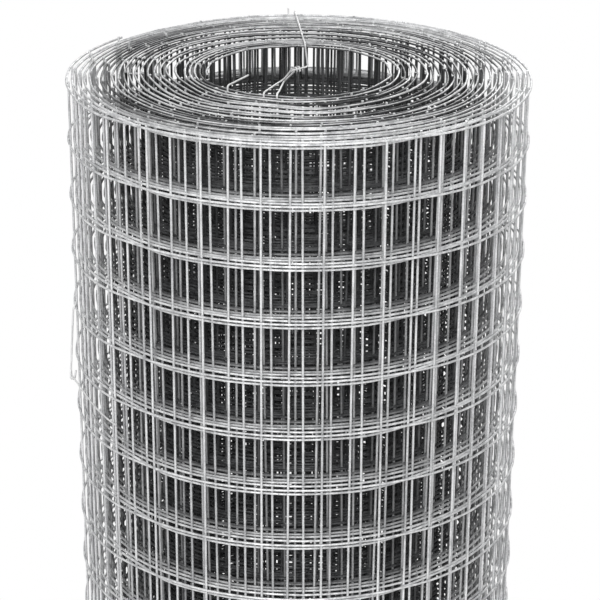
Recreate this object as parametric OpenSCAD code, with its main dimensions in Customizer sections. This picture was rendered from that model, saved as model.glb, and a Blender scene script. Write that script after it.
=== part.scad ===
// Roll of welded square-mesh wire fencing, standing on its end, with its tie wires.
// Millimetres, +Z up along the roll, origin in the middle of the bottom end.

/* [Mesh] */
// Spacing of the line wires up the roll
mesh_pitch = 50; // [25:1:100]
// Number of mesh openings over the width of the fence
meshes_high = 20; // [8:1:40]
// Diameter of the mesh wire
wire_d = 2; // [1.4:0.1:3]
// Depth that the line wires sink into the stay wires at the welds
weld_sink = 0.3; // [0.1:0.05:0.6]
// Length of stay wire that stands past the edge line wires
stay_tip = 1.5; // [0.5:0.1:4]

/* [Roll] */
// Diameter of the open bore
bore_d = 154; // [100:1:300]
// Number of turns of mesh
turns = 23; // [6:1:40]
// Clear gap between one turn and the next
turn_gap = 1.65; // [0.8:0.05:4]
// Clear gap behind the innermost turn, where the top tie hooks in
inner_gap = 2.4; // [2.2:0.1:5]
// Depth that the gaps between the turns are open at each end
end_gap_depth = 20; // [14:1:40]
// Height that the innermost turn stands above the outermost at the top end
core_rise = 2.8; // [0:0.1:6]

/* [Tie wires] */
// Diameter of the tie wires
tie_d = 1.6; // [1:0.1:1.8]
// Clearance between a tie wire and what it lies on
seat_gap = 0.3; // [0.2:0.05:0.5]
// Length over which a tie wire bends
bend_len = 2.4; // [1.6:0.1:4]

/* [Top tie] */
// Angle at which the top tie comes over the outer rim
rim_angle = 91.3; // [60:0.1:120]
// Angle between the top tie and its turned-up tail outside the rim
tail_angle = 1.7; // [1.4:0.1:4]
// Height of the tail's tip over the end of the roll
tail_up = 4; // [1:0.5:12]
// Depth of the tail's turn below the end of the roll
tail_down = 14; // [8:0.5:30]
// Angle at which the top tie comes over the bore's edge
bore_angle = 86; // [70:0.5:100]
// Distance that the top tie keeps off the wall of the bore
wall_off = 1; // [0.8:0.1:4]
// Depth to which the top tie runs down the wall of the bore
wall_drop = 17; // [8:0.5:40]
// Angle that the top tie leans by on its way down the wall of the bore
wall_lean = 2; // [0:0.5:6]
// Distance of the twist's end from the wall of the bore
twist_in = 7; // [6:0.5:12]
// Angle of the twist's end round the bore
twist_angle = 96; // [94:0.5:102]
// Depth of the twist's end below the end of the roll
twist_drop = 19.5; // [10:0.5:22]
// Distance of the fork from the wall of the bore
fork_in = 39.5; // [25:0.5:60]
// Angle of the fork round the bore
fork_angle = 110; // [100:0.5:125]
// Depth of the fork below the end of the roll
fork_drop = 17; // [6:0.5:22]
// Angle of the loop's left leg on the front edge of the bore
loop_left = -110.5; // [-125:0.5:-108]
// Angle of the loop's right leg on the front edge of the bore
loop_right = -102.5; // [-104:0.5:-90]
// Depth of the loop behind the innermost turn
loop_drop = 8; // [5:0.5:12]
// Length of plain wire between the bend at the twist's end and the first turn
twist_clear = 3; // [2.4:0.1:5]
// Turns of the wire's end round itself
twist_turns = 1.7; // [0.7:1:2.7]
// Advance of the wire's end in one turn of the twist
twist_lead = 3; // [2.4:0.1:3.6]
// Length of the wire's end that points down from the twist
twist_tail = 2.5; // [1:0.5:5]

/* [Bore tie] */
// Angle at which the short bore tie comes up behind the innermost turn
stub_angle = -136; // [-150:0.5:-125]
// Distance of its cut end from the roll's axis
stub_r = 50; // [30:1:60]
// Angle of its cut end round the bore
stub_end_angle = -148.5; // [-170:0.5:-120]

/* [Side tie] */
// Line wire that the side hook hangs from, counted down from the top
hook_row = 4; // [1:1:6]
// Angle of the side hook round the roll
hook_angle = -167.5; // [-175:0.5:-160]
// Length of the side hook below its line wire
hook_len = 67; // [60:1:90]
// Distance that the side hook stands off the roll at its foot
hook_out = 6; // [5:0.5:12]
// Length of the side hook's turned-up end
hook_tail = 6; // [3:0.5:12]
// Distance that the turned-up end leans to the roll
hook_lean = 1.2; // [0:0.1:1.6]
// Length of the side hook above its line wire
hook_head = 6; // [5:0.5:15]
// Drop of the side tie on its way from the hook to its end
side_drop = 8; // [0:0.5:12]
// Angle at which the side tie ends on the face of the roll
side_end_angle = -141; // [-145:0.5:-100]
// Length of the side tie's end behind the hook
side_tail = 4; // [3:0.5:10]

/* [Hidden] */
$fn = 64;

zinc = [0.62, 0.63, 0.65];
tie_zinc = [0.52, 0.53, 0.55];

// The mesh: stay wires on the inside, line wires welded on outside them
sheet_t = 2 * wire_d - weld_sink;
turn_pitch = sheet_t + turn_gap;
edge_z = stay_tip + wire_d / 2;
roll_h = meshes_high * mesh_pitch + 2 * edge_z;
bore_r = bore_d / 2;

function turn_r(i) = bore_r + (i == 0 ? 0 : i * turn_pitch + inner_gap - turn_gap);
function line_r(i) = turn_r(i) + 1.5 * wire_d - weld_sink;
function row_z(i) = edge_z + i * mesh_pitch;
function turn_rise(i) = core_rise * (turns - 1 - i) / (turns - 1);

stay_face_r = turn_r(turns - 1) + wire_d;
outer_r = turn_r(turns - 1) + sheet_t;

// Where the middle of a tie wire runs
tie_r = tie_d / 2;
tie_off = seat_gap + tie_r;
wrap_r = tie_d + seat_gap;
lay_z = roll_h + tie_off;
core_lay_z = lay_z + core_rise;
rim_r = outer_r + tie_off;
wall_r = bore_r - tie_off - wall_off;
face_r = stay_face_r + tie_off;
behind_r = turn_r(0) + sheet_t + inner_gap / 2;
tie_sides = 8;
ring_sides = 8;
bend_steps = 4;
bend_share = 0.45;
loop_steps = 4;
twist_steps = 10;

function polar(r, a, z) = [r * cos(a), r * sin(a), z];
function unit(v) = v / norm(v);

// A route with each inner corner eased into a bend
function eased(p, b) = [
    for (i = [0 : len(p) - 1])
        let (inner = i > 0 && i < len(p) - 1)
        let (before = inner ? min(b, norm(p[i] - p[i - 1]) * bend_share) : 0)
        let (after = inner ? min(b, norm(p[i + 1] - p[i]) * bend_share) : 0)
        let (from = inner ? p[i] + unit(p[i - 1] - p[i]) * before : p[i])
        let (to = inner ? p[i] + unit(p[i + 1] - p[i]) * after : p[i])
        for (k = [0 : inner ? bend_steps : 0])
            let (t = k / bend_steps)
            (1 - t) * (1 - t) * from + 2 * t * (1 - t) * p[i] + t * t * to
];

function along(p, i) =
    i == 0 ? unit(p[1] - p[0])
    : i == len(p) - 1 ? unit(p[i] - p[i - 1])
    : unit(unit(p[i + 1] - p[i]) + unit(p[i] - p[i - 1]));

function square_to(n, t) = unit(n - (n * t) * t);

// Directions across a route, each carried on from the one before
function across(p, first) = [
    for (i = 0, n = square_to(first, along(p, 0));
         i < len(p);
         i = i + 1, n = i < len(p) ? square_to(n, along(p, i)) : n) n
];

// A round wire along a route
module wire(p, d, first) {
    n = across(p, first);
    s = tie_sides;
    last = len(p) - 1;
    rings = [
        for (i = [0 : last])
            let (m = cross(along(p, i), n[i]))
            for (k = [0 : s - 1])
                p[i] + (n[i] * cos(360 * k / s) + m * sin(360 * k / s)) * d / 2
    ];
    sides = [
        for (i = [0 : last - 1])
            for (k = [0 : s - 1])
                let (a = i * s + k)
                let (b = i * s + (k + 1) % s)
                each [[a, a + s, b], [b, a + s, b + s]]
    ];
    polyhedron(
        rings,
        concat([[for (k = [0 : s - 1]) k]], sides, [[for (k = [s - 1 : -1 : 0]) last * s + k]])
    );
}

// Route of the top tie: up outside the rim, over the turns, down the bore and across it
wall_foot = polar(wall_r, bore_angle - wall_lean, roll_h - wall_drop);
twist_end = polar(bore_r - twist_in, twist_angle, roll_h - twist_drop);
fork = polar(bore_r - fork_in, fork_angle, roll_h - fork_drop);
core = unit(twist_end - wall_foot);
core_back = unit(cross(core, [0, 0, 1]));
twist_start = twist_end - core * twist_clear;
pair_side = unit(cross(fork - twist_end, [0, 0, 1]));
pair_below = unit(cross(fork - twist_end, pair_side));
over_rim = [
    polar(rim_r, rim_angle + tail_angle, roll_h + tail_up),
    polar(rim_r, rim_angle + tail_angle, roll_h - tail_down),
    polar(rim_r, rim_angle, roll_h - tail_down),
    polar(rim_r, rim_angle, lay_z),
    polar(wall_r, bore_angle, core_lay_z),
    wall_foot,
    twist_end,
    fork
];
loop = [
    polar(wall_r, loop_left, core_lay_z),
    polar(behind_r, loop_left, core_lay_z),
    for (i = [0 : loop_steps])
        polar(behind_r, loop_left + (loop_right - loop_left) * i / loop_steps, roll_h - loop_drop),
    polar(behind_r, loop_right, core_lay_z),
    polar(wall_r, loop_right, core_lay_z)
];
twist = [
    for (i = [0 : twist_steps * twist_turns])
        let (a = 360 * i / twist_steps)
        twist_start - core * twist_lead * i / twist_steps
            + wrap_r * (sin(a) * core_back - cos(a) * [0, 0, 1])
];
top_route = concat(
    eased(concat(over_rim, loop, [fork + wrap_r * pair_below, twist[0]]), bend_len),
    [for (i = [1 : len(twist) - 1]) twist[i]],
    [twist[len(twist) - 1] - [0, 0, twist_tail]]
);

// Route of the bore tie: up behind the innermost turn, over its crest and into the bore
stub_route = eased([
    polar(behind_r, stub_angle, roll_h - loop_drop),
    polar(behind_r, stub_angle, core_lay_z),
    polar(stub_r, stub_end_angle, core_lay_z)
], bend_len);

// Route of the side hook: over its line wire, down, and turned up at the foot
hook_z = row_z(meshes_high - hook_row);
foot_z = hook_z - hook_len;
foot_r = outer_r + hook_out;
eye_r = foot_r - wrap_r;
eye_z = foot_z + wrap_r;
eye_steps = 6;
hook_route = concat(
    eased([
        polar(face_r, hook_angle, hook_z + hook_head),
        polar(face_r, hook_angle, hook_z + wire_d + tie_d),
        polar(rim_r + seat_gap, hook_angle, hook_z),
        polar(foot_r, hook_angle, eye_z)
    ], bend_len),
    [for (i = [1 : eye_steps])
        polar(
            eye_r + wrap_r * cos(180 * i / eye_steps),
            hook_angle,
            eye_z - wrap_r * sin(180 * i / eye_steps)
        )],
    [polar(eye_r - wrap_r - hook_lean, hook_angle, eye_z + hook_tail)]
);

// Route of the side tie: through the hook's eye, then on to the face of the roll
leave_angle = hook_angle + acos(face_r / eye_r);
free_run = sqrt(eye_r * eye_r - face_r * face_r);
face_run = face_r * (side_end_angle - leave_angle) * PI / 180;
leave_z = eye_z - side_drop * free_run / (free_run + face_run);
end_z = eye_z - side_drop;
eye = polar(eye_r, hook_angle, eye_z);
behind_eye = eye + unit(eye - polar(face_r, leave_angle, leave_z)) * side_tail;
face_steps = 6;
side_route = eased(
    concat(
        [behind_eye + [0, 0, side_tail], behind_eye],
        [for (i = [0 : face_steps])
            polar(
                face_r,
                leave_angle + (side_end_angle - leave_angle) * i / face_steps,
                leave_z + (end_z - leave_z) * i / face_steps
            )]
    ),
    bend_len
);

// Half section of the roll, with the turns standing free at both ends
module roll_section() {
    translate([bore_r, end_gap_depth])
        square([stay_face_r - bore_r, roll_h - 2 * end_gap_depth]);
    for (i = [0 : turns - 1]) {
        translate([turn_r(i), 0])
            square([wire_d, roll_h + turn_rise(i)]);
        translate([line_r(i), row_z(0)])
            line_wire_section();
        translate([line_r(i), row_z(meshes_high) + turn_rise(i)])
            line_wire_section();
    }
    for (row = [1 : meshes_high - 1])
        translate([line_r(turns - 1), row_z(row)])
            line_wire_section();
}

// Section of a line wire, with flats facing in, out, up and down
module line_wire_section() {
    rotate(180 / ring_sides)
        circle(d = wire_d / cos(180 / ring_sides), $fn = ring_sides);
}

module mesh_roll() {
    color(zinc)
        rotate_extrude()
            roll_section();
}

module top_tie_wire() {
    color(tie_zinc)
        wire(top_route, tie_d, [1, 0, 0]);
}

module bore_tie_wire() {
    color(tie_zinc)
        wire(stub_route, tie_d, polar(1, stub_angle, 0));
}

module side_hook_wire() {
    color(tie_zinc)
        wire(hook_route, tie_d, polar(1, hook_angle + 90, 0));
}

module side_tie_wire() {
    color(tie_zinc)
        wire(side_route, tie_d, polar(1, hook_angle, 0));
}

mesh_roll();
top_tie_wire();
bore_tie_wire();
side_hook_wire();
side_tie_wire();
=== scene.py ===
"""Roll of welded wire mesh fencing on its end: every wire of the wound sheet, its welds and its ties."""

import math

import bpy
import numpy as np
from bpy.props import FloatProperty, FloatVectorProperty, IntProperty, PointerProperty
from mathutils import Matrix, Vector


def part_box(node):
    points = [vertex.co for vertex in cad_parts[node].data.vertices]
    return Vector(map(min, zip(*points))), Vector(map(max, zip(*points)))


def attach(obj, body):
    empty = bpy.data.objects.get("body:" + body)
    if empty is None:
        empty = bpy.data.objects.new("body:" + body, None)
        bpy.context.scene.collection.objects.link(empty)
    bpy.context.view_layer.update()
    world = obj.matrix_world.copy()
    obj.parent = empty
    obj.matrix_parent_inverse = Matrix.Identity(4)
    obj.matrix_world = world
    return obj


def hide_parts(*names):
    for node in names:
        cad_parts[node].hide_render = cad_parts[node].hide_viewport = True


bl_info = {
    "name": "Fencing Roll",
    "version": (1, 0, 0),
    "blender": (4, 5, 0),
    "location": "View3D > Sidebar > Fencing Roll",
    "description": "Winds a roll of welded wire mesh and ties it",
    "category": "Add Mesh",
}

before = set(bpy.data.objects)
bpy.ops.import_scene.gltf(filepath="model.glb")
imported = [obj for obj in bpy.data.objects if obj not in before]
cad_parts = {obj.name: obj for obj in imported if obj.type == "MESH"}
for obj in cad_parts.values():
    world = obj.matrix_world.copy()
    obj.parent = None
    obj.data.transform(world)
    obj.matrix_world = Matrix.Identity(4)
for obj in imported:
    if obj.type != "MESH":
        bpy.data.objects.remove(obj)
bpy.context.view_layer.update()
ROLL_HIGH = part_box("mesh_roll")[1]
MM = 0.001
UP = np.array([0.0, 0.0, 1.0])
STEEP = 0.8  # climb of a wire past which its first ring is set out sideways, not up
NUGGET_SIDES = 6
SHARP_DEGREES = 75  # an edge sharper than this is not shaded smooth
WHITE = (1, 1, 1, 1)


def number(name, description, default, precision=3, **kind):
    """A number that a user can change."""
    return FloatProperty(
        name=name, description=description, default=default, precision=precision, **kind
    )


def length(name, description, default):
    """A size in metres that a user can change."""
    return number(name, description, default, 5, unit="LENGTH")


def angle(name, description, degrees):
    """An angle that a user can change."""
    return number(name, description, math.radians(degrees), subtype="ANGLE")


def power(name, description, default):
    """A lamp's power in watts that a user can change."""
    return number(name, description, default, unit="POWER")


def colour(name, description, default):
    """A colour that a user can change."""
    return FloatVectorProperty(
        name=name, description=description, default=default, size=3, min=0, max=1, subtype="COLOR"
    )


def whole(name, description, default):
    """A whole number that a user can change."""
    return IntProperty(name=name, description=description, default=default)


class MeshSizes(bpy.types.PropertyGroup):
    """Sizes of the mesh and of the roll that it is wound into."""

    pitch: length("Mesh pitch", "Spacing of the line wires and of the stays", 50 * MM)
    meshes_high: whole("Meshes high", "Openings over the fence's width", 20)
    wire_d: length("Wire", "Diameter of the mesh wire", 2 * MM)
    weld_sink: length("Weld sink", "Depth that a line wire sinks into a stay", 0.3 * MM)
    stay_tip: length("Stay tip", "Length of stay past the edge line wires", 1.5 * MM)
    tip_less: length("Shorter tips", "Most that a stay's upper tip is shorter", 1.1 * MM)
    bore_d: length("Bore", "Diameter of the open bore", 154 * MM)
    outer_d: length("Outer diameter", "Diameter over the outer turn", 2 * ROLL_HIGH.x)
    turns: whole("Turns", "Turns of mesh", 23)
    core_rise: length("Core rise", "How far the innermost turn stands up at the top end", 2.8 * MM)
    inner_gap: length("Inner gap", "Gap behind the innermost turn", 2.6 * MM)
    tight_turns: whole("Tight turns", "Outer turns that are wound tightly", 11)
    tight_gap: length("Tight gap", "Mean gap between the outer turns", 1.2 * MM)
    loose_turn: whole("Loose turn", "Inner turn with a wide gap outside it", 4)
    loose: number("Loose", "How much wider the gap outside the loose turn is", 2.2)
    snug: number("Snug", "How much narrower the gaps inside the loose turn are", 0.5)
    back_gap: number("Back gap", "How much wider the outermost gap is at the back", 2.2)
    back_gap_angle: angle("Back gap angle", "Where the outermost gap is widest", 112)
    front_shares: FloatVectorProperty(
        name="Front shares",
        description="Where the outer turns' stays stand at the front, in pitches",
        size=10,
        default=(0, 0.452, 0.673, 0.171, 0.873, 0.572, 0.08, 0.341, 0.944, 0.40),
    )
    back_share: number("Back share", "Where the outer turn's stays stand at the back, in pitches", 0.33)
    back_step: number("Back step", "Step of the stays at the back from turn to turn, in pitches", 0.85)
    lean_pivot: number("Lean pivot", "Share of the height at which a leaning stay is in its place", 0.8)
    outer_end: angle("Outer end", "Where the sheet's last stay outside stands", 145.95)
    inner_end: angle("Inner end", "Where the sheet's last stay inside stands", 172)
    outer_step: angle("Outer step", "Where the outer turns step inward", 120)
    inner_step: angle("Inner step", "Where the inner turns step inward", 215)
    outer_width: angle("Outer step width", "Angle over which an outer turn steps inward", 44)
    inner_width: angle("Inner step width", "Angle over which an inner turn steps inward", 90)
    outer_tail: length("Outer tails", "Line wire past the outer end's stay", 7 * MM)
    inner_tail: length("Inner tails", "Line wire past the inner end's stay", 38 * MM)
    pairing: number("Pairing", "How much the turns lie in pairs at the front and back", 1.8)
    unevenness: number("Unevenness", "How much the gaps between the turns differ", 0.4)
    stay_lean: angle("Stay lean", "How far the stays of the inner turns lean", 0.45)
    flatness: number("Flatness", "How far the line wires flatten between stays", 0.22)
    inner_flatness: number("Inner flatness", "The same for the innermost turn", 0.5)
    row_shifts: FloatVectorProperty(
        name="Row shifts",
        description="How far the rows below the top one are off even steps, from the top down",
        size=8,
        default=[shift * MM for shift in (-0.7, -0.7, 0, 0, 1.6, 2.0, 0.8, -0.8)],
        unit="LENGTH",
    )
    front_rise: length("Front rise", "How far the outer turn sits up at the front", 0.9 * MM)
    side_drop: length("Side drop", "How far the outer turn sits down beside its front", 1.6 * MM)
    front_sag: length("Front sag", "How far the second turn sits down at the front", 2.9 * MM)
    sag_step: length("Sag step", "How much more it sits down with each row below the top", 0.3 * MM)
    row_slack: length("Row slack", "Most that a row sits down, for each row below it", 0.35 * MM)
    edge_wander: length("Edge wander", "How far the turns' edges go up and down", 0.5 * MM)
    seed: whole("Seed", "Seed of the unevenness", 7)


class TieSizes(bpy.types.PropertyGroup):
    """Sizes and places of the tie wires."""

    wire_d: length("Tie wire", "Diameter of the tie wires", 1.6 * MM)
    seat_gap: length("Seat gap", "Clearance between a tie and what it lies on", 0.3 * MM)
    bend: length("Bend", "Length over which a tie bends", 2.4 * MM)
    rim_angle: angle("Over the rim", "Where the top tie comes over the outer rim", 91.3)
    tail_angle: angle("Tail", "Angle from the top tie to its turned-up tail", 1.7)
    tail_up: length("Tail up", "Height of the tail over the end of the roll", 4 * MM)
    tail_down: length("Tail down", "Depth of the tail's turn below the end", 14 * MM)
    bore_angle: angle("Over the bore's edge", "Where the top tie enters the bore", 86)
    wall_off: length("Off the wall", "Distance that the top tie keeps off the bore", 1 * MM)
    wall_drop: length("Down the wall", "Depth that the top tie runs down the bore", 17 * MM)
    wall_lean: angle("Lean", "Lean of the top tie on its way down", 2)
    twist_in: length("Twist in", "Distance of the twist's end from the wall", 7 * MM)
    twist_angle: angle("Twist angle", "Where the twist ends", 96)
    twist_drop: length("Twist drop", "Depth of the twist's end", 19.5 * MM)
    fork_in: length("Fork in", "Distance of the fork from the wall", 39.5 * MM)
    fork_angle: angle("Fork angle", "Where the fork is", 110)
    fork_drop: length("Fork drop", "Depth of the fork", 17 * MM)
    loop_left: angle("Loop left", "Left leg of the loop on the bore's edge", -110.5)
    loop_right: angle("Loop right", "Right leg of the loop on the bore's edge", -102.5)
    loop_drop: length("Loop drop", "Depth of the loop behind the innermost turn", 8 * MM)
    twist_clear: length("Twist clear", "Plain wire before the first turn", 3 * MM)
    twist_turns: number("Twist turns", "Turns of the wire's end round itself", 1.7)
    twist_lead: length("Twist lead", "Advance in one turn of the twist", 3 * MM)
    twist_tail: length("Twist tail", "End that points down from the twist", 2.5 * MM)
    stub_angle: angle("Stub angle", "Where the bore tie comes up", -136)
    stub_r: length("Stub end", "Distance of the stub's end from the axis", 50 * MM)
    stub_end_angle: angle("Stub end angle", "Where the stub's end is", -148.5)
    hook_row: whole("Hook row", "Line wire that the hook hangs from", 4)
    hook_angle: angle("Hook angle", "Where the side hook hangs", -167.5)
    hook_len: length("Hook length", "Length of the hook below its line wire", 67 * MM)
    hook_out: length("Hook out", "Distance of the hook's foot from the roll", 6 * MM)
    hook_tail: length("Hook tail", "Length of the hook's turned-up end", 6 * MM)
    hook_lean: length("Hook lean", "Lean of the turned-up end to the roll", 1.2 * MM)
    hook_head: length("Hook head", "Length of the hook above its line wire", 6 * MM)
    side_drop: length("Side drop", "Drop of the side tie", 8 * MM)
    side_end_angle: angle("Side end", "Where the side tie ends", -141)
    side_tail: length("Side tail", "Length of the side tie behind the hook", 4 * MM)


class FinishColours(bpy.types.PropertyGroup):
    """Colours of the zinc, of the shade painted deep in the roll, and of the stage."""

    zinc_bright: colour("Bright zinc", "Clean zinc on the mesh wire", (0.92, 0.925, 0.93))
    zinc_dull: colour("Dull zinc", "Weathered zinc on the mesh wire", (0.42, 0.425, 0.435))
    # Painted shade: these two dark colours stand for the shade deep in the roll, and the lighter one's
    # patches are painted glints on the inner wires.
    inside_bright: colour("Bright inside", "Clean zinc deep in the roll", (0.10, 0.102, 0.105))
    inside_dull: colour("Dull inside", "Dusty zinc deep in the roll", (0.009, 0.0092, 0.0097))
    # The welds' zinc is darker than the wire's, which makes dark spots where the wires cross.
    weld_bright: colour("Weld zinc", "Zinc on a weld", (0.55, 0.555, 0.56))
    weld_dull: colour("Burnt weld", "Burnt zinc beside a weld", (0.16, 0.16, 0.165))
    tie_bright: colour("Bright tie", "Clean zinc on a tie", (0.92, 0.92, 0.92))
    tie_dull: colour("Dull tie", "Dull zinc on a tie", (0.66, 0.665, 0.67))
    floor: colour("Floor", "The floor near the roll", (0.80, 0.80, 0.80))


class StageSizes(bpy.types.PropertyGroup):
    """The camera, the lamps and the floor."""

    camera_back: length("Camera back", "Distance of the camera in front of the axis", 1.7416)
    camera_side: length("Camera side", "Distance of the camera to the right of the axis", 0.0019)
    camera_height: length("Camera height", "Height of the camera", 1.5073)
    camera_pitch: angle("Camera pitch", "How far the camera looks down", 22.277)
    camera_roll: angle("Camera roll", "How far the camera leans", 0.28)
    lens: number("Lens", "Focal length", 126.5, unit="CAMERA")
    sky: number("Sky", "Strength of the light from all round", 0.12)
    key_power: power("Key lamp", "Power of the key lamp", 12)
    fill_power: power("Fill lamp", "Power of the fill lamp", 92)
    back_power: power("Back lamp", "Power of the back lamp", 40)
    pale: number("Pale", "How white the floor is beside the roll", 0.5)
    shade_from: length("Shade from", "Distance at which the floor starts to turn white", 0.5)
    shade_to: length("Shade to", "Distance at which the floor is white", 0.82)


class RollSettings(bpy.types.PropertyGroup):
    """All settings of the roll."""

    mesh: PointerProperty(type=MeshSizes)
    ties: PointerProperty(type=TieSizes)
    colours: PointerProperty(type=FinishColours)
    stage: PointerProperty(type=StageSizes)


def smooth(x):
    """Rises from 0 to 1 as x does, level at both ends."""
    x = np.clip(x, 0, 1)
    return x * x * (3 - 2 * x)


def hump(x):
    """1 where x is 0, falling away to 0 on both sides."""
    return np.exp(-(x**2))


def stretch(degrees, opens, opening, shuts, shutting):
    """1 on a stretch of angles, falling smoothly to 0 at both its ends."""
    return smooth((degrees - opens) / opening) * (1 - smooth((degrees - shuts) / shutting))


def wrapped(a):
    """Angles brought to half a turn either way."""
    return np.mod(a + np.pi, 2 * np.pi) - np.pi


def unit(v):
    """Vectors made one long."""
    v = np.asarray(v, float)
    return v / np.linalg.norm(v, axis=-1, keepdims=True)


def polar(r, a, z):
    """A point by its distance from the axis, its angle and its height."""
    return np.array([r * math.cos(a), r * math.sin(a), z])


class WoundSheet:
    """Where the sheet of mesh runs: rings that step inward once a turn, with stays at even steps."""

    # Angles worked out in a ring, steps in the whole run, and pieces of line wire between two stays.
    AZIMUTHS, STEPS, PANEL_PARTS = 720, 24000, 4
    # Unevenness: waves round a ring, how they weaken, their limit, turns with upright stays, stray.
    RING_WAVES, LEAN_WAVES, WAVE_FALL = 9, 5, 0.8
    MOST_WANDER, UPRIGHT_TURNS, WOBBLE = 1.6, 3, 0.35 * MM
    # Angles in radians: the roll's front, and how wide the snug front and the wide gap at the back are.
    FRONT, SNUG_FRONT, BACK_GAP_WIDTH = -np.pi / 2, 0.8, 0.6
    GOLDEN = 0.618034
    # Stretches of angles in degrees: where each opens, over how much, where it shuts, over how much.
    NEAR = (-168, 16, -25, 30)
    FACE = (-150, 22, -70, 28)
    SAGGING = (-138, 14, -74, 20)
    # Where the ties lie on the top end, in degrees: edges stay level and tips short under them.
    TOP_TIE_AT, TOP_TIE_WIDTH, TOP_TIE_CLEAR = 88, 14, 9
    LOOP_AT, LOOP_WIDTH, LOOP_CLEAR = -112, 30, 32
    INNERMOST = 1.5
    # Cut ends: the least and the spread of their lengths, their points, how they bow off the wall.
    OUTER_CUT, INNER_CUT = (0.85, 0.3), (0.92, 0.16)
    OUTER_CUT_POINTS, INNER_CUT_POINTS = (1, 0.66, 0.33), 5
    CUT_BOW, CUT_BOWS, CUT_OFF = 1.2 * MM, 1.5, 0.6 * MM

    def __init__(self, sizes):
        self.s = sizes
        self.rng = np.random.default_rng(sizes.seed)
        self.sheet_t = 2 * sizes.wire_d - sizes.weld_sink
        self.line_out = sizes.wire_d - sizes.weld_sink
        self.edge_z = sizes.stay_tip + sizes.wire_d / 2
        self.first_r = sizes.bore_d / 2 + sizes.wire_d / 2
        self.last_r = sizes.outer_d / 2 - self.sheet_t + sizes.wire_d / 2
        self.row_z = self.edge_z + sizes.pitch * np.arange(sizes.meshes_high + 1)
        self.row_z[-2:-2 - len(sizes.row_shifts):-1] += np.array(sizes.row_shifts)
        self.around = np.linspace(0, 2 * np.pi, self.AZIMUTHS, endpoint=False)
        self.low_rings = self.rings()
        self.high_rings = self.rings()
        self.wander = self.waves(sizes.turns, self.RING_WAVES)
        self.run()
        self.place_stays()

    def waves(self, count, highest):
        """Smooth random curves round the roll, each about one in size."""
        wave = np.arange(1, highest + 1)
        strength = 1 / wave**self.WAVE_FALL
        strength = strength / np.sqrt((strength**2).sum() / 2)
        turn = self.rng.uniform(0, 2 * np.pi, (count, highest))
        return (strength * np.cos(wave * self.around[:, None, None] + turn)).sum(-1).T

    def rings(self):
        """Radius of each turn's stays, from the innermost out, all round the roll."""
        s = self.s
        gaps = np.exp(s.unevenness * self.waves(s.turns - 1, self.RING_WAVES))
        room = self.last_r - self.first_r - (s.turns - 1) * self.sheet_t - s.inner_gap
        sign = np.where(np.arange(s.turns - 1, 0, -1) % 2, 1, -1)
        gaps *= np.exp(s.pairing * sign[:, None] * np.sin(self.around) ** 2)
        gaps[1:s.loose_turn] *= s.snug
        ahead = wrapped(self.around - self.FRONT)
        gaps[s.loose_turn] *= 1 + (s.loose - 1) * (1 - hump(ahead / self.SNUG_FRONT))
        aside = wrapped(self.around - s.back_gap_angle)
        gaps[-1] *= 1 + s.back_gap * hump(aside / self.BACK_GAP_WIDTH)
        tight = s.tight_gap * s.tight_turns
        outer, inner = gaps[-s.tight_turns:], gaps[1:-s.tight_turns]
        outer *= tight / outer.sum(0)
        inner *= (room - tight) / inner.sum(0)
        gaps[0] = s.inner_gap
        innermost = np.full((1, self.AZIMUTHS), self.first_r)
        return np.concatenate([innermost, self.first_r + (self.sheet_t + gaps).cumsum(0)])

    def run(self):
        """The run of the sheet from its outer end to its inner end, by angle."""
        s = self.s
        turn = 2 * np.pi
        margin = turn / 4
        self.a = np.linspace(s.outer_end - margin, turn * s.turns + s.inner_end + margin, self.STEPS)
        steps = np.arange(1, s.turns)
        drift = (steps - 1) / (s.turns - 2)
        centre = turn * steps + s.outer_step + (s.inner_step - s.outer_step) * drift
        self.ring = np.full(self.STEPS, s.turns - 1.0)
        width = s.outer_width + (s.inner_width - s.outer_width) * drift
        for c, w in zip(centre, width):
            self.ring -= smooth((self.a - c) / w + 0.5)
        middle = (self.stay_r(self.a, 0) + self.stay_r(self.a, 1)) / 2 + self.line_out
        step = np.diff(self.a) * (middle[1:] + middle[:-1]) / 2
        self.along = np.concatenate([[0], step.cumsum()])

    def on_ring(self, table, a, ring):
        """A value of a table of rings at an angle, between the two rings that the sheet is at."""
        low = np.clip(np.floor(ring).astype(int), 0, self.s.turns - 1)
        high = np.minimum(low + 1, self.s.turns - 1)
        at = np.mod(a, 2 * np.pi) / (2 * np.pi) * self.AZIMUTHS
        i = np.floor(at).astype(int) % self.AZIMUTHS
        j = (i + 1) % self.AZIMUTHS
        t = at - np.floor(at)
        inner = table[low, i] * (1 - t) + table[low, j] * t
        outer = table[high, i] * (1 - t) + table[high, j] * t
        return inner + (outer - inner) * (ring - low)

    def ring_at(self, a):
        """The ring that the sheet is at, counted from the innermost."""
        return np.interp(a, self.a, self.ring)

    def stay_r(self, a, up):
        """Radius of the middle of the stays, at a share of the height."""
        ring = self.ring_at(a)
        low = self.on_ring(self.low_rings, a, ring)
        high = self.on_ring(self.high_rings, a, ring)
        return low + (high - low) * up

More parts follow.
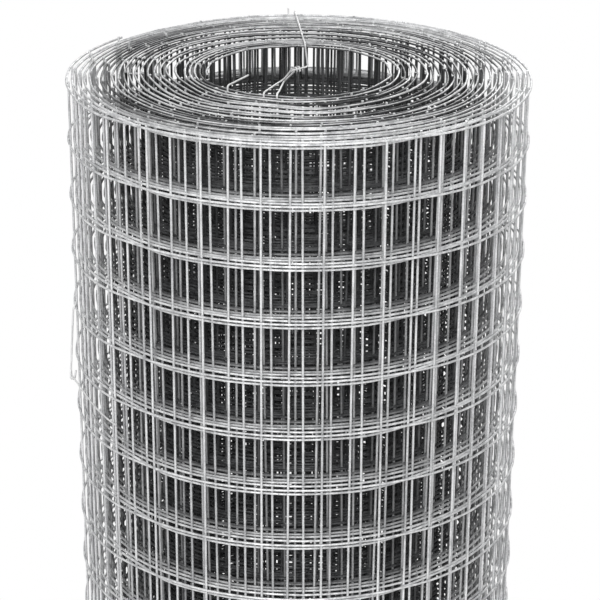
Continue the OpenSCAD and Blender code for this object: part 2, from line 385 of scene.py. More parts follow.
    def rise(self, a, row):
        """How far the sheet sits up at one row: more near the bore, with shifts in the outer turns."""
        s = self.s
        up = row / s.meshes_high
        core = s.core_rise * up * (self.last_r - self.stay_r(a, up)) / (self.last_r - self.first_r)
        ring = self.ring_at(a)
        degrees = np.degrees(wrapped(a))
        under_top_tie = hump((degrees - self.TOP_TIE_AT) / self.TOP_TIE_WIDTH)
        under_loop = hump((degrees - self.LOOP_AT) / self.LOOP_WIDTH) * (ring < self.INNERMOST)
        wander = self.on_ring(self.wander, a, ring) * (1 - under_top_tie) * (1 - under_loop)
        outer = smooth(ring - (s.turns - 2))
        second = 1 - np.clip(np.abs(ring - (s.turns - 2)), 0, 1)
        edge = np.clip(wander, -self.MOST_WANDER, self.MOST_WANDER) * s.edge_wander * (1 - outer)
        shift = (s.front_rise + s.side_drop) * stretch(degrees, *self.FACE) - s.side_drop
        sag = s.front_sag + s.sag_step * (s.meshes_high - row)
        sits = edge + outer * stretch(degrees, *self.NEAR) * shift
        sits -= second * sag * stretch(degrees, *self.SAGGING)
        return core + np.maximum(sits, -s.stay_tip / 2 - s.row_slack * row)

    def place_stays(self):
        """Where the stays stand along the sheet, and how they lean."""
        s = self.s
        start = np.interp(s.outer_end, self.a, self.along)
        stop = np.interp(2 * np.pi * s.turns + s.inner_end, self.a, self.along)
        count = round((stop - start) / s.pitch)
        even = np.linspace(start, stop, count + 1)
        self.stays = even + self.stay_shift(even)
        a = np.interp(self.stays, self.along, self.a)
        wave = self.waves(s.turns, self.LEAN_WAVES)
        lean = self.on_ring(wave, a, self.ring_at(a)) * s.stay_lean
        lean *= smooth((s.turns - 1 - self.ring_at(a)) / self.UPRIGHT_TURNS)
        self.lean = np.tan(lean)
        self.wobble = self.rng.normal(0, self.WOBBLE, count + 1)

    def stay_shift(self, even):
        """How far evenly spaced stays move along the sheet, to stand spread at the front and back."""
        s = self.s
        pitch = even[1] - even[0]
        half_turns = np.arange(2 * s.turns)
        first = math.ceil((s.outer_end - self.FRONT) / (2 * np.pi))
        at = np.interp(self.FRONT + 2 * np.pi * first + np.pi * half_turns, self.a, self.along)
        stands = np.mod((even[0] - at) / pitch, 1)
        wanted = self.GOLDEN * half_turns
        wanted[1::2] = s.back_share + s.back_step * np.arange(s.turns)
        wanted[: 2 * len(s.front_shares) : 2] = np.array(s.front_shares) + stands[0]
        shift = np.mod(wanted - stands + 0.5, 1) - 0.5
        shift[:2] = 0
        return np.interp(even, at, shift * pitch)

    def stay_along(self, row):
        """Distance of every stay along one line wire."""
        up = self.row_z[row] - self.row_z[-1] * self.s.lean_pivot
        return self.stays + self.wobble + self.lean * up

    def points(self, along, row, out, inset=0.0):
        """Points of the sheet at distances along it, on one row, out from the stays' middle."""
        a = np.interp(along, self.along, self.a)
        r = self.stay_r(a, row / self.s.meshes_high) + out - inset
        z = self.row_z[row] + self.rise(a, row)
        return np.stack([r * np.cos(a), r * np.sin(a), z], -1)

    def line_wire(self, row):
        """Route of one line wire, with its free tails at both ends."""
        s = self.s
        at = self.stay_along(row)
        parts = np.arange(self.PANEL_PARTS) / self.PANEL_PARTS
        along = (at[:-1, None] + np.diff(at)[:, None] * parts).ravel()
        a = np.interp(along, self.along, self.a)
        ring = self.ring_at(a)
        flat = s.flatness + (s.inner_flatness - s.flatness) * smooth(1 - ring)
        sag = s.pitch**2 / 8 / self.stay_r(a, 0.5)
        bow = np.tile(4 * parts * (1 - parts), len(at) - 1)
        route = self.points(along, row, self.line_out, flat * sag * bow)
        return np.concatenate([self.outer_tail(at[0], row), route, self.inner_tail(at[-1], row)])

    def outer_tail(self, start, row):
        """The cut end of a line wire outside the roll."""
        least, spread = self.OUTER_CUT
        reach = self.s.outer_tail * (least + spread * self.rng.random())
        back = np.array(self.OUTER_CUT_POINTS) * reach
        return self.points(start - back, row, self.line_out)

    def inner_tail(self, stop, row):
        """The cut end of a line wire inside the bore, which bows a little off the wall."""
        s = self.s
        least, spread = self.INNER_CUT
        reach = s.inner_tail * (least + spread * self.rng.random())
        a0 = np.interp(stop, self.along, self.a)
        r0 = s.bore_d / 2 + s.wire_d / 2 + self.line_out
        t = np.linspace(0, 1, self.INNER_CUT_POINTS)
        a = a0 + t * reach / r0
        r = r0 - self.CUT_BOW * np.sin(np.pi * np.minimum(t * self.CUT_BOWS, 1)) - self.CUT_OFF * t
        z = np.full(len(t), self.row_z[row] + self.rise(a0, row))
        return np.stack([r * np.cos(a), r * np.sin(a), z], -1)

    def stay_wires(self):
        """Routes of all the stays, from the lower tip to the upper one."""
        s = self.s
        rows = [self.points(self.stay_along(row), row, 0.0) for row in range(s.meshes_high + 1)]
        routes = np.stack(rows, 1)
        tip = self.edge_z - self.rng.random(len(self.stays)) * s.tip_less
        a = np.interp(self.stays, self.along, self.a)
        degrees = np.degrees(wrapped(a))
        under_top_tie = np.abs(degrees - self.TOP_TIE_AT) < self.TOP_TIE_CLEAR
        under_loop = np.abs(degrees - self.LOOP_AT) < self.LOOP_CLEAR
        under_loop &= self.ring_at(a) < self.INNERMOST
        tip = np.where(under_top_tie | under_loop, self.edge_z - s.tip_less, tip)
        foot = routes[:, :1].copy()
        foot[:, 0, 2] = np.maximum(foot[:, 0, 2] - self.edge_z, 0)
        head = routes[:, -1:].copy()
        head[:, 0, 2] += tip
        return np.concatenate([foot, routes, head], 1)

    def weld_places(self):
        """The middle of every weld, and the directions outward and along the sheet there."""
        middle = (self.s.wire_d - self.s.weld_sink) / 2
        rows = range(self.s.meshes_high + 1)
        places = np.concatenate([self.points(self.stay_along(row), row, middle) for row in rows])
        out = places * [1, 1, 0]
        return places, unit(out), unit(np.cross(UP, out))


class Cells:
    """An even grid of cells in a surface map, one for each short length of wire."""

    MARGIN = 0.06
    # In shares of a cell: a wire's round end, and the two faces of a weld.
    CAP_MIDDLE, CAP_HALF = 0.5, 0.4
    DISC_MIDDLES, DISC_HALF_WIDE, DISC_HALF_HIGH = (0.25, 0.75), 0.22, 0.45

    def __init__(self, count, aspect):
        self.columns = max(1, math.ceil(math.sqrt(count / aspect)))
        self.rows = math.ceil(count / self.columns)

    def place(self, cell, u, v):
        """Map coordinates of points u, v of a cell."""
        inside = self.MARGIN + (1 - 2 * self.MARGIN) * v
        x = (cell % self.columns + u) / self.columns
        y = (cell // self.columns + inside) / self.rows
        return np.stack(np.broadcast_arrays(x, y), -1)


def carried(tangents):
    """Directions across each route, carried on from point to point so that a tube doesn't twist."""
    first = tangents[:, 0]
    start = np.where(np.abs(first[:, 2:]) > STEEP, [[1.0, 0.0, 0.0]], [UP])
    across = np.empty_like(tangents)
    n = start
    for i in range(tangents.shape[1]):
        t = tangents[:, i]
        n = unit(n - (n * t).sum(-1, keepdims=True) * t)
        across[:, i] = n
    return across


def tubes(routes, radius, sides):
    """Vertices, faces and face maps of round wires along routes that all have as many points."""
    count, points, _ = routes.shape
    steps = unit(np.diff(routes, axis=1))
    tangents = unit(np.concatenate([steps[:, :1], steps[:, 1:] + steps[:, :-1], steps[:, -1:]], 1))
    n = carried(tangents)
    m = np.cross(tangents, n)
    turn = 2 * np.pi * np.arange(sides) / sides
    ring = n[:, :, None] * np.cos(turn)[:, None] + m[:, :, None] * np.sin(turn)[:, None]
    vertices = (routes[:, :, None] + radius * ring).reshape(-1, 3)
    index = np.arange(count * points * sides).reshape(count, points, sides)
    a, b = index[:, :-1], index[:, 1:]
    quads = np.stack([a, np.roll(a, -1, -1), np.roll(b, -1, -1), b], -1).reshape(-1, 4)
    caps = np.concatenate([index[:, 0, ::-1], index[:, -1]])
    cells = count * (points - 1)
    grid = Cells(cells + len(caps), 2)
    k = np.arange(sides)
    u = np.array([0, 0, 1, 1])
    v = np.stack([k, k + 1, k + 1, k], -1) / sides
    quad_map = grid.place(np.arange(cells)[:, None, None], np.broadcast_to(u, v.shape), v)
    cap_u = grid.CAP_MIDDLE + grid.CAP_HALF * np.cos(turn)
    cap_v = grid.CAP_MIDDLE + grid.CAP_HALF * np.sin(turn)
    cap_map = grid.place(cells + np.arange(len(caps))[:, None], cap_u, cap_v)
    faces = quads.tolist() + caps.tolist()
    return vertices, faces, np.concatenate([quad_map.reshape(-1, 2), cap_map.reshape(-1, 2)])


def nuggets(places, out, along, across, thick):
    """Vertices, faces and face maps of flat six-sided nuggets with their thickness outward."""
    turn = 2 * np.pi * np.arange(NUGGET_SIDES) / NUGGET_SIDES
    rim = along[:, None] * np.cos(turn)[:, None] + UP * np.sin(turn)[:, None]
    rim = places[:, None] + across[:, None, None] * rim
    front = places + out * thick
    back = places - out * thick
    vertices = np.concatenate([rim, front[:, None], back[:, None]], 1)
    index = np.arange(vertices.size // 3).reshape(len(places), -1)
    k = np.arange(NUGGET_SIDES)
    after = (k + 1) % NUGGET_SIDES
    fronts = np.stack([index[:, k], index[:, after], np.repeat(index[:, -2:-1], NUGGET_SIDES, 1)], -1)
    backs = np.stack([index[:, after], index[:, k], np.repeat(index[:, -1:], NUGGET_SIDES, 1)], -1)
    faces = np.stack([fronts, backs], 1).reshape(-1, 3)
    grid = Cells(len(places), 2)
    disc_u = np.stack([np.cos(turn), np.cos(turn[after]), 0 * turn], -1) * grid.DISC_HALF_WIDE
    disc_v = np.stack([np.sin(turn), np.sin(turn[after]), 0 * turn], -1) * grid.DISC_HALF_HIGH
    u = np.stack([middle + disc_u for middle in grid.DISC_MIDDLES])
    v = np.stack([disc_v, disc_v]) + grid.CAP_MIDDLE
    face_map = grid.place(np.arange(len(places))[:, None, None, None], u, v)
    return vertices.reshape(-1, 3), faces.tolist(), face_map.reshape(-1, 2)


def add_object(name, data):
    """Adds an object to the scene."""
    made = bpy.data.objects.new(name, data)
    bpy.context.scene.collection.objects.link(made)
    return made


def add_piece(name, parts, material, node):
    """Adds one piece to the scene, in the place of a node of the frame."""
    vertices, faces, face_map = parts
    mesh = bpy.data.meshes.new(name)
    mesh.from_pydata(vertices.tolist(), [], faces)
    mesh.shade_smooth()
    mesh.set_sharp_from_angle(angle=math.radians(SHARP_DEGREES))
    layer = mesh.uv_layers.new(name="OFBake")
    layer.uv.foreach_set("vector", face_map.astype(np.float32).ravel())
    mesh.materials.append(material)
    mesh.validate()
    piece = add_object(name, mesh)
    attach(piece, "root")
    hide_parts(node)


class Field:
    """A value that changes over a surface: a shader socket that takes part in Python arithmetic."""

    def __init__(self, tree, socket=None):
        self.tree = tree
        self.socket = socket

    def node(self, kind, settings=None, inputs=None, output=0):
        """Adds a node with its settings, then its socket values or links, and returns an output."""
        node = self.tree.nodes.new(kind)
        for key, value in (settings or {}).items():
            setattr(node, key, value)
        for key, value in (inputs or {}).items():
            self.feed(node, key, value)
        return Field(self.tree, self.find(node.outputs, output) if node.outputs else None)

    @staticmethod
    def find(sockets, key):
        """A socket by its number, its identifier or its name."""
        if isinstance(key, int):
            return sockets[key]
        for socket in sockets:
            if socket.identifier == key:
                return socket
        return sockets[key]

    def feed(self, node, key, value):
        """Sets a socket of a node, or links it."""
        socket = self.find(node.inputs, key)
        if isinstance(value, Field):
            self.tree.links.new(value.socket, socket)
        else:
            socket.default_value = value

    def math(self, operation, first, second):
        """A Math node on two values."""
        return self.node("ShaderNodeMath", {"operation": operation}, {0: first, 1: second})

    def __add__(self, other):
        return self.math("ADD", self, other)

    def __sub__(self, other):
        return self.math("SUBTRACT", self, other)

    def __mul__(self, other):
        return self.math("MULTIPLY", self, other)

    def __radd__(self, other):
        return self.math("ADD", other, self)

    def __rsub__(self, other):
        return self.math("SUBTRACT", other, self)

    def __rmul__(self, other):
        return self.math("MULTIPLY", other, self)

    def between(self, low, high):
        """0 below low, 1 above high, and smooth between them."""
        return self.node(
            "ShaderNodeMapRange",
            {"interpolation_type": "SMOOTHSTEP"},
            {"Value": self, "From Min": low, "From Max": high},
        )

    def mix(self, first, second):
        """A colour that goes from the first to the second as this value goes from 0 to 1."""
        first, second = (c if isinstance(c, Field) else (*c, 1) for c in (first, second))
        return self.node(
            "ShaderNodeMix",
            {"data_type": "RGBA", "clamp_factor": True},
            {"Factor_Float": self, "A_Color": first, "B_Color": second},
            "Result_Color",
        )

    def vector(self, operation, first, second=(0, 0, 0), output="Vector"):
        """A Vector Math node on two vectors."""
        return self.node("ShaderNodeVectorMath", {"operation": operation}, {0: first, 1: second}, output)

    def axis_distance(self):
        """Distance of this place from the roll's axis."""
        return self.vector("LENGTH", self.vector("MULTIPLY", self, (1, 1, 0)), output="Value")

    def noise(self, place, scale, detail=2.0, roughness=0.5):
        """Soft random cloud at a place, about scale clouds to the metre."""
        return self.node(
            "ShaderNodeTexNoise",
            None,
            {"Vector": place, "Scale": scale, "Detail": detail, "Roughness": roughness},
            "Fac",
        )


def empty_tree(owner):
    """The node tree of a material or world, with nothing in it."""
    owner.use_nodes = True
    owner.node_tree.nodes.clear()
    return owner.node_tree


class Zinc:
    """How the zinc looks: its gloss, its patches, its lumpy coat, and where in the roll shade is painted
    into its colour.
    """

    METALLIC, SPECULAR = 0.25, 0.12
    WIRE_ROUGH, WELD_ROUGH = 0.38, 0.46
    DULL_ROUGHER, FLECK_ROUGHER = 0.16, 0.10
    # Patches to the metre, and how much finer the streaks, flecks and lumps are.
    WIRE_PATCHES, WELD_PATCHES, TIE_PATCHES = 55, 160, 90
    PATCH_DETAIL, PATCH_ROUGHNESS = 4.0, 0.62
    STREAKS, FLECKS, LUMPS = 3, 14, 26
    STREAK_SQUASH = (1, 1, 0.05)
    PATCH_WEIGHT, STREAK_WEIGHT, FLECK_WEIGHT = 0.5, 0.5, 0.3
    CLEAN_FROM, CLEAN_TO = 0.42, 0.86
    COAT_STRENGTH, COAT_DEPTH = 0.35, 0.15 * MM
    # Painted shade by depth: the zinc is left unshaded on the outer turns, at the ends and, faintly, on
    # the bore's wall, and is painted dark as shade deeper in.
    OUTER_CLEAN, LINE_REACH, STAY_REACH = 7 * MM, 34 * MM, 52 * MM
    END_SHARE, END_CLEAN, END_DUSTY = 0.86, 1.4 * MM, 2.4 * MM
    BORE_SHARE, BORE_CLEAN, BORE_DUSTY = 0.06, 3 * MM, 10 * MM


def outside_share(place, reach):
    """How much of the zinc is left unshaded: 1 on the outer turns, less at the two ends and the bore, 0
    deep inside, where its colour is painted dark as shade. At the ends the lower side of the edge wires
    is painted dark as shade.
    """
    s = bpy.context.scene.fencing_roll.mesh
    wall = (s.outer_d - s.bore_d) / 2
    inward = ROLL_HIGH.x - place.axis_distance()
    z = place.node("ShaderNodeSeparateXYZ", None, {0: place}, "Z")
    outer_end = ROLL_HIGH.z - s.core_rise
    below = outer_end + inward * (s.core_rise / wall) - z
    side = 1 - inward.between(Zinc.OUTER_CLEAN, reach)
    end_depth = z.math("MINIMUM", z, below)
    # Painted shade under the edge wires at both ends: their lower side is painted dark.
    end = Zinc.END_SHARE * (1 - end_depth.between(Zinc.END_CLEAN, Zinc.END_DUSTY))
    bore = Zinc.BORE_SHARE * inward.between(wall - Zinc.BORE_DUSTY, wall - Zinc.BORE_CLEAN)
    return side.math("MAXIMUM", side.math("MAXIMUM", side, end), bore)


def zinc_finish(name, bright, dull, rough, patches, reach=None):
    """Galvanised wire: bright zinc with dull patches, fine spangle and a faintly lumpy coat; given a
    reach, its colour is painted dark as shade deeper in the roll.
    """
    material = bpy.data.materials.new(name)
    field = Field(empty_tree(material))
    place = field.node("ShaderNodeTexCoord", output="Object")
    along = field.vector("MULTIPLY", place, Zinc.STREAK_SQUASH)
    patch = field.noise(place, patches, Zinc.PATCH_DETAIL, Zinc.PATCH_ROUGHNESS)
    streak = field.noise(along, patches * Zinc.STREAKS)
    fleck = field.noise(place, patches * Zinc.FLECKS)
    lump = field.noise(place, patches * Zinc.LUMPS)
    cloud = patch * Zinc.PATCH_WEIGHT + streak * Zinc.STREAK_WEIGHT + fleck * Zinc.FLECK_WEIGHT
    clean = cloud.between(Zinc.CLEAN_FROM, Zinc.CLEAN_TO)
    zinc = clean.mix(dull, bright)
    if reach:
        c = bpy.context.scene.fencing_roll.colours
        # Painted shade: deep in the roll the zinc's colour gives way to the dark painted shade colours,
        # whose lighter patches are painted glints.
        zinc = outside_share(place, reach).mix(clean.mix(c.inside_dull, c.inside_bright), zinc)
    normal = field.node(
        "ShaderNodeBump",
        None,
        {"Strength": Zinc.COAT_STRENGTH, "Distance": Zinc.COAT_DEPTH, "Height": lump + patch},
    )
    shader = field.node(
        "ShaderNodeBsdfPrincipled",
        None,
        {
            "Base Color": zinc,
            "Metallic": Zinc.METALLIC,
            "Specular IOR Level": Zinc.SPECULAR,
            "Roughness": rough + Zinc.DULL_ROUGHER * (1 - clean) + Zinc.FLECK_ROUGHER * (fleck - 0.5),
            "Normal": normal,
        },
    )
    field.node("ShaderNodeOutputMaterial", None, {"Surface": shader})
    return material


def wire_finish(name, reach):
    """The zinc of the mesh wires, left unshaded down to a depth in the roll and painted dark as shade
    below it.
    """
    c = bpy.context.scene.fencing_roll.colours
    return zinc_finish(name, c.zinc_bright, c.zinc_dull, Zinc.WIRE_ROUGH, Zinc.WIRE_PATCHES, reach)


def weld_finish(name):
    """The darker zinc of the welds, painted dark as shade deep in the roll like the line wires."""
    c = bpy.context.scene.fencing_roll.colours
    return zinc_finish(
        name, c.weld_bright, c.weld_dull, Zinc.WELD_ROUGH, Zinc.WELD_PATCHES, Zinc.LINE_REACH
    )


def tie_finish(name):
    """The zinc of the tie wires."""
    c = bpy.context.scene.fencing_roll.colours
    return zinc_finish(name, c.tie_bright, c.tie_dull, Zinc.WIRE_ROUGH, Zinc.TIE_PATCHES)


class Floor:
    """How the floor looks: its half width in metres, and its grain."""

    HALF = 14.0
    GRAINS, GRAIN_DETAIL, GRAIN_ROUGHNESS = 9, 3.0, 0.6
    DARKNESS_KEPT = 0.8
    ROUGH, GRAIN_ROUGHER = 0.7, 0.1


def floor_finish():
    """A pale floor that keeps the roll's shadow near it and turns white further off."""
    settings = bpy.context.scene.fencing_roll
    stage = settings.stage
    colour_near = settings.colours.floor
    material = bpy.data.materials.new("pale_floor")
    field = Field(empty_tree(material))
    place = field.node("ShaderNodeTexCoord", output="Object")
    far = place.axis_distance().between(stage.shade_from, stage.shade_to)
    shown = seen_directly(field) * (stage.pale + (1 - stage.pale) * far)
    grain = field.noise(place, Floor.GRAINS, Floor.GRAIN_DETAIL, Floor.GRAIN_ROUGHNESS)
    paler = [1 - (1 - c) * Floor.DARKNESS_KEPT for c in colour_near]
    matt = field.node(
        "ShaderNodeBsdfPrincipled",
        None,
        {
            "Base Color": grain.mix(colour_near, paler),
            "Roughness": Floor.ROUGH + Floor.GRAIN_ROUGHER * grain,
        },
    )
    white = field.node("ShaderNodeEmission", None, {"Color": WHITE, "Strength": 1.0})
    both = field.node("ShaderNodeMixShader", None, {0: shown, 1: matt, 2: white})
    field.node("ShaderNodeOutputMaterial", None, {"Surface": both})
    return material


def seen_directly(field):
    """1 for rays from the camera and for those that gloss or glass sends on, else 0."""
    camera = field.node("ShaderNodeLightPath", output="Is Camera Ray")
    rays = camera.socket.node.outputs
    glossy = Field(field.tree, rays["Is Glossy Ray"])
    passed = Field(field.tree, rays["Is Transmission Ray"])
    return camera.math("MAXIMUM", camera.math("MAXIMUM", camera, glossy), passed)


class TieRoutes:
    """Routes of the tie wires, on the sizes of the roll."""

    BEND_STEPS = 8
    BEND_SHARE = 0.45
    LOOP_STEPS = 8
    TWIST_STEPS = 20
    EYE_STEPS = 14
    FACE_STEPS = 16

    def __init__(self, mesh, ties):
        self.m = mesh
        self.t = ties
        sheet_t = 2 * mesh.wire_d - mesh.weld_sink
        self.top = mesh.meshes_high * mesh.pitch + 2 * mesh.stay_tip + mesh.wire_d
        self.off = ties.seat_gap + ties.wire_d / 2
        self.wrap = ties.wire_d + ties.seat_gap
        self.bore_r = mesh.bore_d / 2
        self.outer_r = mesh.outer_d / 2
        self.lay_z = self.top + self.off
        self.core_lay_z = self.lay_z + mesh.core_rise
        self.rim_r = self.outer_r + self.off
        self.wall_r = self.bore_r - self.off - ties.wall_off
        self.face_r = self.outer_r - sheet_t + mesh.wire_d + self.off
        self.behind_r = self.bore_r + sheet_t + mesh.inner_gap / 2

    def eased(self, points):
        """A route with each inner corner eased into a bend."""
        route = [points[0]]
        for before, corner, after in zip(points, points[1:], points[2:]):
            ends = []
            for other in (before, after):
                reach = min(self.t.bend, np.linalg.norm(other - corner) * self.BEND_SHARE)
                ends.append(corner + unit(other - corner) * reach)
            for k in range(self.BEND_STEPS + 1):
                s = k / self.BEND_STEPS
                route.append((1 - s) ** 2 * ends[0] + 2 * s * (1 - s) * corner + s * s * ends[1])
        route.append(points[-1])
        return route

    def top_tie(self):
        """Up outside the rim, over the turns, down and across the bore, round the innermost turn."""
        t = self.t
        foot = polar(self.wall_r, t.bore_angle - t.wall_lean, self.top - t.wall_drop)
        twist_end = polar(self.bore_r - t.twist_in, t.twist_angle, self.top - t.twist_drop)
        fork = polar(self.bore_r - t.fork_in, t.fork_angle, self.top - t.fork_drop)
        core = unit(twist_end - foot)
        core_back = unit(np.cross(core, UP))
        pair = fork - twist_end
        below = unit(np.cross(pair, np.cross(pair, UP)))
        start = twist_end - core * t.twist_clear
        twist = []
        for i in range(round(self.TWIST_STEPS * t.twist_turns) + 1):
            a = 2 * math.pi * i / self.TWIST_STEPS
            around = math.sin(a) * core_back - math.cos(a) * UP
            twist.append(start - core * t.twist_lead * i / self.TWIST_STEPS + self.wrap * around)
        tail_angle = t.rim_angle + t.tail_angle
        loop = np.linspace(t.loop_left, t.loop_right, self.LOOP_STEPS)
        corners = [
            polar(self.rim_r, tail_angle, self.top + t.tail_up),
            polar(self.rim_r, tail_angle, self.top - t.tail_down),
            polar(self.rim_r, t.rim_angle, self.top - t.tail_down),
            polar(self.rim_r, t.rim_angle, self.lay_z),
            polar(self.wall_r, t.bore_angle, self.core_lay_z),
            foot,
            twist_end,
            fork,
            polar(self.wall_r, t.loop_left, self.core_lay_z),
            polar(self.behind_r, t.loop_left, self.core_lay_z),
            *[polar(self.behind_r, a, self.top - t.loop_drop) for a in loop],
            polar(self.behind_r, t.loop_right, self.core_lay_z),
            polar(self.wall_r, t.loop_right, self.core_lay_z),
            fork + self.wrap * below,
            twist[0],
        ]
        return self.eased(corners) + twist[1:] + [twist[-1] - UP * t.twist_tail]

    def bore_tie(self):
        """Up behind the innermost turn, over its crest and into the bore."""
        t = self.t
        return self.eased([
            polar(self.behind_r, t.stub_angle, self.top - t.loop_drop),
            polar(self.behind_r, t.stub_angle, self.core_lay_z),
            polar(t.stub_r, t.stub_end_angle, self.core_lay_z),
        ])

    def hook_eye(self):
        """Radius and height of the middle of the hook's eye."""
        t = self.t
        row_z = self.top - self.m.stay_tip - self.m.wire_d / 2 - t.hook_row * self.m.pitch
        return self.outer_r + t.hook_out - self.wrap, row_z - t.hook_len + self.wrap, row_z

    def side_hook(self):
        """Over its line wire, down, and turned up at the foot."""
        t = self.t
        eye_r, eye_z, row_z = self.hook_eye()
        hook = self.eased([
            polar(self.face_r, t.hook_angle, row_z + t.hook_head),
            polar(self.face_r, t.hook_angle, row_z + self.m.wire_d + t.wire_d),
            polar(self.rim_r + t.seat_gap, t.hook_angle, row_z),
            polar(eye_r + self.wrap, t.hook_angle, eye_z),
        ])
        for i in range(1, self.EYE_STEPS + 1):
            a = math.pi * i / self.EYE_STEPS
            r = eye_r + self.wrap * math.cos(a)
            hook.append(polar(r, t.hook_angle, eye_z - self.wrap * math.sin(a)))
        hook.append(polar(eye_r - self.wrap - t.hook_lean, t.hook_angle, eye_z + t.hook_tail))
        return hook

    def side_tie(self):
        """Through the hook's eye, then on to the face of the roll."""
        t = self.t
        eye_r, eye_z, _ = self.hook_eye()
        leave = t.hook_angle + math.acos(self.face_r / eye_r)
        free = math.sqrt(eye_r**2 - self.face_r**2)
        laid = self.face_r * (t.side_end_angle - leave)
        leave_z = eye_z - t.side_drop * free / (free + laid)
        eye = polar(eye_r, t.hook_angle, eye_z)
        behind = eye + unit(eye - polar(self.face_r, leave, leave_z)) * t.side_tail
        part = np.linspace(0, 1, self.FACE_STEPS + 1)
        angles = leave + (t.side_end_angle - leave) * part
        heights = leave_z + (eye_z - t.side_drop - leave_z) * part
        face = [polar(self.face_r, a, z) for a, z in zip(angles, heights)]
        return self.eased([behind + UP * t.side_tail, behind, *face])


class FENCING_OT_line_wires(bpy.types.Operator):
    """Winds the line wires, in three bands from the bottom up."""

    bl_idname = "fencing.line_wires"
    bl_label = "Line wires"
    SIDES = 8
    BANDS = ("low", "middle", "top")

    def execute(self, context):
        sizes = context.scene.fencing_roll.mesh
        sheet = WoundSheet(sizes)
        routes = np.stack([sheet.line_wire(row) for row in range(sizes.meshes_high + 1)])
        finish = wire_finish("galvanised_line_wire", Zinc.LINE_REACH)
        for name, band in zip(self.BANDS, np.array_split(routes, len(self.BANDS))):
            parts = tubes(band, sizes.wire_d / 2, self.SIDES)
            add_piece(f"line_wires_{name}", parts, finish, "mesh_roll")
        return {"FINISHED"}


class FENCING_OT_stay_wires(bpy.types.Operator):
    """Stands the stay wires inside the line wires."""

    bl_idname = "fencing.stay_wires"
    bl_label = "Stay wires"
    SIDES = 8

    def execute(self, context):
        sizes = context.scene.fencing_roll.mesh
        parts = tubes(WoundSheet(sizes).stay_wires(), sizes.wire_d / 2, self.SIDES)
        finish = wire_finish("galvanised_stay_wire", Zinc.STAY_REACH)
        add_piece("stay_wires", parts, finish, "mesh_roll")
        return {"FINISHED"}


class FENCING_OT_welds(bpy.types.Operator):
    """Sets a weld at every crossing of a line wire and a stay."""

    bl_idname = "fencing.welds"
    bl_label = "Welds"
    # Half width and half thickness of a weld, in wire diameters.
    NARROWEST, WIDEST, THICKNESS = 0.62, 0.86, 0.42

    def execute(self, context):
        sizes = context.scene.fencing_roll.mesh
        places, out, along = WoundSheet(sizes).weld_places()
        rng = np.random.default_rng(sizes.seed + 1)
        across = sizes.wire_d * rng.uniform(self.NARROWEST, self.WIDEST, len(places))
        parts = nuggets(places, out, along, across, sizes.wire_d * self.THICKNESS)
        add_piece("welds", parts, weld_finish("burnt_weld_zinc"), "mesh_roll")
        return {"FINISHED"}


class FENCING_OT_ties(bpy.types.Operator):
    """Ties the roll with its loose wires."""

    bl_idname = "fencing.ties"
    bl_label = "Tie wires"
    SIDES = 10

    def execute(self, context):
        settings = context.scene.fencing_roll
        routes = TieRoutes(settings.mesh, settings.ties)
        wires = {
            "top_tie": (routes.top_tie(), "top_tie_wire"),
            "bore_tie": (routes.bore_tie(), "bore_tie_wire"),
            "side_hook": (routes.side_hook(), "side_hook_wire"),
            "side_tie": (routes.side_tie(), "side_tie_wire"),
        }
        finish = tie_finish("galvanised_tie_wire")
        for name, (route, node) in wires.items():
            parts = tubes(np.array([route]), settings.ties.wire_d / 2, self.SIDES)
            add_piece(name, parts, finish, node)
        return {"FINISHED"}


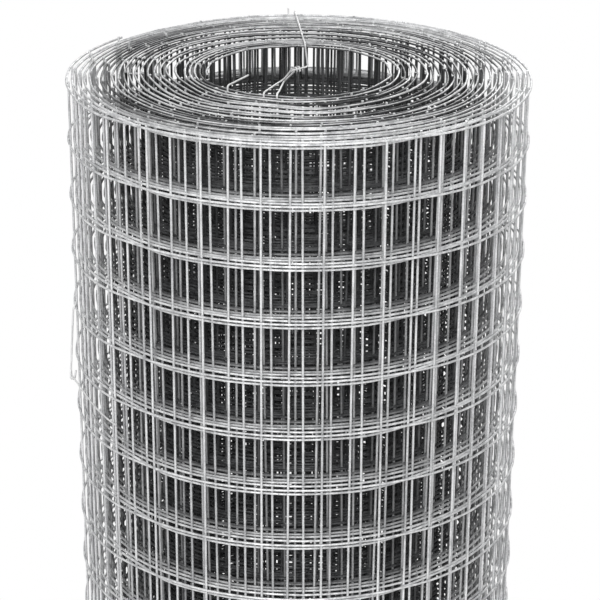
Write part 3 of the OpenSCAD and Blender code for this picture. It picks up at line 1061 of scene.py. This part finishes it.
class FENCING_OT_stage(bpy.types.Operator):
    """Sets the floor, the light and the camera."""

    bl_idname = "fencing.stage"
    bl_label = "Stage"
    # Place and size of each lamp in metres, and the share of the roll's height that they face.
    KEY_LAMP = ((-0.3, 1.0, 3.2), 1.4)
    FILL_LAMP = ((-0.25, -2.85, 2.5), 1.4)
    BACK_LAMP = ((0.9, 3.0, 2.0), 1.6)
    LAMPS_FACE = 0.75
    SIGHT = 100

    def execute(self, context):
        stage = context.scene.fencing_roll.stage
        self.add_floor()
        self.light_sky(stage)
        self.add_lamp("key_lamp", stage.key_power, *self.KEY_LAMP)
        self.add_lamp("fill_lamp", stage.fill_power, *self.FILL_LAMP)
        self.add_lamp("back_lamp", stage.back_power, *self.BACK_LAMP)
        self.add_camera(stage)
        context.scene.view_settings.view_transform = "Standard"
        return {"FINISHED"}

    def add_floor(self):
        """A plain floor at the roll's foot."""
        h = Floor.HALF
        mesh = bpy.data.meshes.new("floor")
        mesh.from_pydata([(-h, -h, 0), (h, -h, 0), (h, h, 0), (-h, h, 0)], [], [(0, 1, 2, 3)])
        mesh.materials.append(floor_finish())
        floor = add_object("floor", mesh)

    def light_sky(self, stage):
        """Even light from all round, with a white background behind the roll."""
        world = bpy.data.worlds.new("studio")
        bpy.context.scene.world = world
        field = Field(empty_tree(world))
        soft = field.node("ShaderNodeBackground", None, {"Color": WHITE, "Strength": stage.sky})
        white = field.node("ShaderNodeBackground", None, {"Color": WHITE, "Strength": 1.0})
        both = field.node("ShaderNodeMixShader", None, {0: seen_directly(field), 1: soft, 2: white})
        field.node("ShaderNodeOutputWorld", None, {"Surface": both})

    def add_lamp(self, name, power, place, size):
        """A soft square lamp that faces the roll."""
        lamp = bpy.data.lights.new(name, "AREA")
        lamp.energy = power
        lamp.size = size
        lamp_object = add_object(name, lamp)
        lamp_object.location = place
        middle = Vector((0, 0, ROLL_HIGH.z * self.LAMPS_FACE))
        lamp_object.rotation_euler = (middle - Vector(place)).to_track_quat("-Z", "Y").to_euler()

    def add_camera(self, stage):
        """The camera, in front of the roll and above it."""
        data = bpy.data.cameras.new("camera")
        data.lens = stage.lens
        data.clip_end = self.SIGHT
        camera = add_object("camera", data)
        camera.location = (stage.camera_side, -stage.camera_back, stage.camera_height)
        level = Matrix.Rotation(math.pi / 2 - stage.camera_pitch, 3, "X")
        camera.rotation_euler = (level @ Matrix.Rotation(stage.camera_roll, 3, "Z")).to_euler()
        bpy.context.scene.camera = camera


class FENCING_PT_roll(bpy.types.Panel):
    """Lists the steps that make the roll."""

    bl_idname = "FENCING_PT_roll"
    bl_label = "Fencing Roll"
    bl_space_type = "VIEW_3D"
    bl_region_type = "UI"
    bl_category = "Fencing Roll"

    def draw(self, context):
        for step in STEPS:
            self.layout.operator(step.bl_idname)


STEPS = (
    FENCING_OT_line_wires,
    FENCING_OT_stay_wires,
    FENCING_OT_welds,
    FENCING_OT_ties,
    FENCING_OT_stage,
)
CLASSES = (MeshSizes, TieSizes, FinishColours, StageSizes, RollSettings, *STEPS, FENCING_PT_roll)


def register():
    """Adds the classes and the roll's settings."""
    for cls in CLASSES:
        bpy.utils.register_class(cls)
    bpy.types.Scene.fencing_roll = PointerProperty(type=RollSettings)


def unregister():
    """Takes the settings and the classes away again."""
    del bpy.types.Scene.fencing_roll
    for cls in reversed(CLASSES):
        bpy.utils.unregister_class(cls)


def main():
    """Makes the roll and its stage."""
    register()
    bpy.ops.fencing.line_wires()
    bpy.ops.fencing.stay_wires()
    bpy.ops.fencing.welds()
    bpy.ops.fencing.ties()
    bpy.ops.fencing.stage()


if __name__ == "__main__":
    main()
